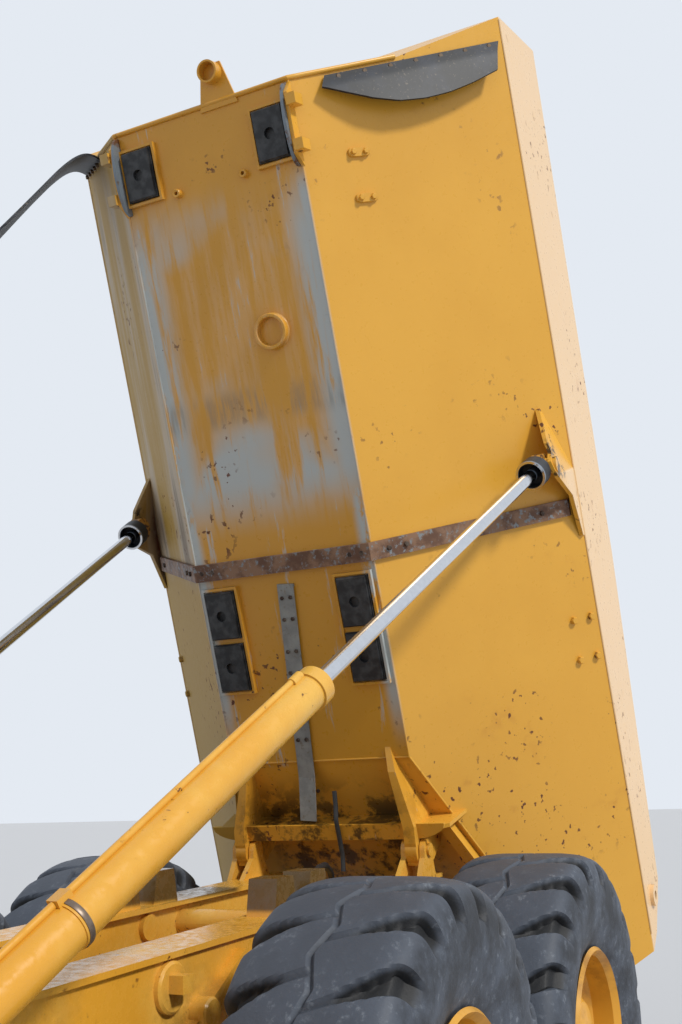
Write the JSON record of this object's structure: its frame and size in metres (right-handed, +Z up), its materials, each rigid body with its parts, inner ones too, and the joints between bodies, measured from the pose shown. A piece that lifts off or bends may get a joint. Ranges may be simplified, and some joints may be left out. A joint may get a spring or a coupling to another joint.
{
  "type": "articulated dump truck",
  "caption": "Articulated dump truck with its tipping body raised on side lift cylinders, cab and bonnet on a front frame, bogie under the rear frame.",
  "frame": {"origin": "on the ground under the middle of the machine's overall box", "axes": "+X forward, +Y to the driver's left, +Z up"},
  "size_m": [10.4492, 3.12, 6.3712],
  "materials": {
    "yellow_paint": "worn satin yellow paint with rust pits and scuffs",
    "rim_paint": "yellow paint, dusty",
    "tyre_rubber": "worn, dusty grey-blue rubber",
    "black_rubber": "matt black rubber",
    "rod_steel": "polished rod",
    "glass": "clear tinted",
    "dark_paint": "satin black paint",
    "cab_plastic": "matt dark trim",
    "engine_iron": "painted casting",
    "exhaust_steel": "heat-stained steel",
    "rusty_steel": "rusty worn plate",
    "red_lens": "gloss red lens",
    "clear_lens": "clear lens over a reflector"
  },
  "bodies": {
    "rear_frame": {"rear_frame": "yellow_paint", "rear_rails": "yellow_paint", "bogie_axles": "yellow_paint", "bogie_beams": "yellow_paint", "frame_hoses": "black_rubber", "tail_lamps": "red_lens"},
    "hitch": {"hitch": "yellow_paint"},
    "tractor": {"tractor_frame": "yellow_paint", "front_axle": "yellow_paint", "engine": "engine_iron", "cab": "yellow_paint", "cab_roof": "yellow_paint", "cab_glass": "glass", "cab_inside": "cab_plastic", "fenders": "yellow_paint", "steps": "dark_paint", "tanks": "yellow_paint", "exhaust": "exhaust_steel", "mirrors": "dark_paint", "head_lamps": "clear_lens"},
    "hood": {"hood": "yellow_paint", "grille": "dark_paint"},
    "door": {"door": "yellow_paint", "door_glass": "glass"},
    "bed": {"bed": "yellow_paint", "bed_chines": "yellow_paint", "bed_walls": "yellow_paint", "bed_head": "yellow_paint", "bed_hinge": "yellow_paint", "bed_beams": "yellow_paint", "bed_pads": "black_rubber", "bed_strips": "rusty_steel", "bed_flaps": "black_rubber", "bed_hose": "black_rubber"},
    "wheel_front_left": {"rim_front_left": "rim_paint", "tyre_front_left": "tyre_rubber"},
    "wheel_front_right": {"rim_front_right": "rim_paint", "tyre_front_right": "tyre_rubber"},
    "wheel_middle_left": {"rim_middle_left": "rim_paint", "tyre_middle_left": "tyre_rubber"},
    "wheel_middle_right": {"rim_middle_right": "rim_paint", "tyre_middle_right": "tyre_rubber"},
    "wheel_rear_left": {"rim_rear_left": "rim_paint", "tyre_rear_left": "tyre_rubber"},
    "wheel_rear_right": {"rim_rear_right": "rim_paint", "tyre_rear_right": "tyre_rubber"},
    "lift_barrel_left": {"lift_barrel_left": "yellow_paint"},
    "lift_rod_left": {"lift_rod_left": "rod_steel"},
    "steer_barrel_left": {"steer_barrel_left": "yellow_paint"},
    "steer_rod_left": {"steer_rod_left": "rod_steel"},
    "lift_barrel_right": {"lift_barrel_right": "yellow_paint"},
    "lift_rod_right": {"lift_rod_right": "rod_steel"},
    "steer_barrel_right": {"steer_barrel_right": "yellow_paint"},
    "steer_rod_right": {"steer_rod_right": "rod_steel"}
  },
  "joints": [
    {"name": "roll", "type": "hinge", "parent": "rear_frame", "child": "hitch", "pos_m": [1.00958, 0, 0.94], "axis": [1, 0, 0], "range_deg": [-15, 15]},
    {"name": "steer", "type": "hinge", "parent": "hitch", "child": "tractor", "pos_m": [1.36458, 0, 0.94], "axis": [0, 0, -1], "range_deg": [-45, 45]},
    {"name": "bed_tip", "type": "hinge", "parent": "rear_frame", "child": "bed", "pos_m": [-3.59942, 0, 1.625], "axis": [0, 1, 0], "range_deg": [0, 72.3]},
    {"name": "hood_lid", "type": "hinge", "parent": "tractor", "child": "hood", "pos_m": [5.06458, 0, 1.2], "axis": [0, 1, 0], "range_deg": [0, 60]},
    {"name": "cab_door", "type": "hinge", "parent": "tractor", "child": "door", "pos_m": [1.79858, 0.802, 2.4], "axis": [0, 0, 1], "range_deg": [0, 90]},
    {"name": "wheel_front_left_spin", "type": "hinge", "parent": "tractor", "child": "wheel_front_left", "pos_m": [2.57458, 1.24, 0.8075], "axis": [0, 1, 0], "continuous": true},
    {"name": "wheel_front_right_spin", "type": "hinge", "parent": "tractor", "child": "wheel_front_right", "pos_m": [2.57458, -1.24, 0.8075], "axis": [0, 1, 0], "continuous": true},
    {"name": "wheel_middle_left_spin", "type": "hinge", "parent": "rear_frame", "child": "wheel_middle_left", "pos_m": [-1.60042, 1.24, 0.8075], "axis": [0, 1, 0], "continuous": true},
    {"name": "wheel_middle_right_spin", "type": "hinge", "parent": "rear_frame", "child": "wheel_middle_right", "pos_m": [-1.60042, -1.24, 0.8075], "axis": [0, 1, 0], "continuous": true},
    {"name": "wheel_rear_left_spin", "type": "hinge", "parent": "rear_frame", "child": "wheel_rear_left", "pos_m": [-3.29042, 1.24, 0.8075], "axis": [0, 1, 0], "continuous": true},
    {"name": "wheel_rear_right_spin", "type": "hinge", "parent": "rear_frame", "child": "wheel_rear_right", "pos_m": [-3.29042, -1.24, 0.8075], "axis": [0, 1, 0], "continuous": true},
    {"name": "lift_swing_left", "type": "hinge", "parent": "rear_frame", "child": "lift_barrel_left", "pos_m": [0.68958, 0.66, 0.858], "axis": [-0.5449, -0.3584, -0.758], "range_deg": [-0.5, 7.24]},
    {"name": "lift_slide_left", "type": "slide", "parent": "lift_barrel_left", "child": "lift_rod_left", "axis": [-0.8334, 0.1317, 0.5368], "range_m": [-2.3281, 0.005]},
    {"name": "steer_swing_left", "type": "hinge", "parent": "tractor", "child": "steer_barrel_left", "pos_m": [2.36458, 0.41, 0.84], "axis": [0, 0, 1], "range_deg": [-8, 8]},
    {"name": "steer_slide_left", "type": "slide", "parent": "steer_barrel_left", "child": "steer_rod_left", "axis": [-0.9992, -0.04, 0], "range_m": [-0.28, 0.28]},
    {"name": "lift_swing_right", "type": "hinge", "parent": "rear_frame", "child": "lift_barrel_right", "pos_m": [0.68958, -0.66, 0.858], "axis": [0.5449, -0.3584, 0.758], "range_deg": [-0.5, 7.24]},
    {"name": "lift_slide_right", "type": "slide", "parent": "lift_barrel_right", "child": "lift_rod_right", "axis": [-0.8334, -0.1317, 0.5368], "range_m": [-2.3281, 0.005]},
    {"name": "steer_swing_right", "type": "hinge", "parent": "tractor", "child": "steer_barrel_right", "pos_m": [2.36458, -0.41, 0.84], "axis": [0, 0, 1], "range_deg": [-8, 8]},
    {"name": "steer_slide_right", "type": "slide", "parent": "steer_barrel_right", "child": "steer_rod_right", "axis": [-0.9992, 0.04, 0], "range_m": [-0.28, 0.28]}
  ],
  "couplings": [
    {"joint": "lift_swing_left", "follows": "bed_tip", "ratio": 0.093269},
    {"joint": "lift_slide_left", "follows": "bed_tip", "m_per_rad": -1.841},
    {"joint": "steer_swing_left", "follows": "steer", "ratio": 0.162},
    {"joint": "steer_slide_left", "follows": "steer", "m_per_rad": 0.346},
    {"joint": "lift_swing_right", "follows": "bed_tip", "ratio": 0.093269},
    {"joint": "lift_slide_right", "follows": "bed_tip", "m_per_rad": -1.841},
    {"joint": "steer_swing_right", "follows": "steer", "ratio": 0.162},
    {"joint": "steer_slide_right", "follows": "steer", "m_per_rad": -0.346}
  ]
}
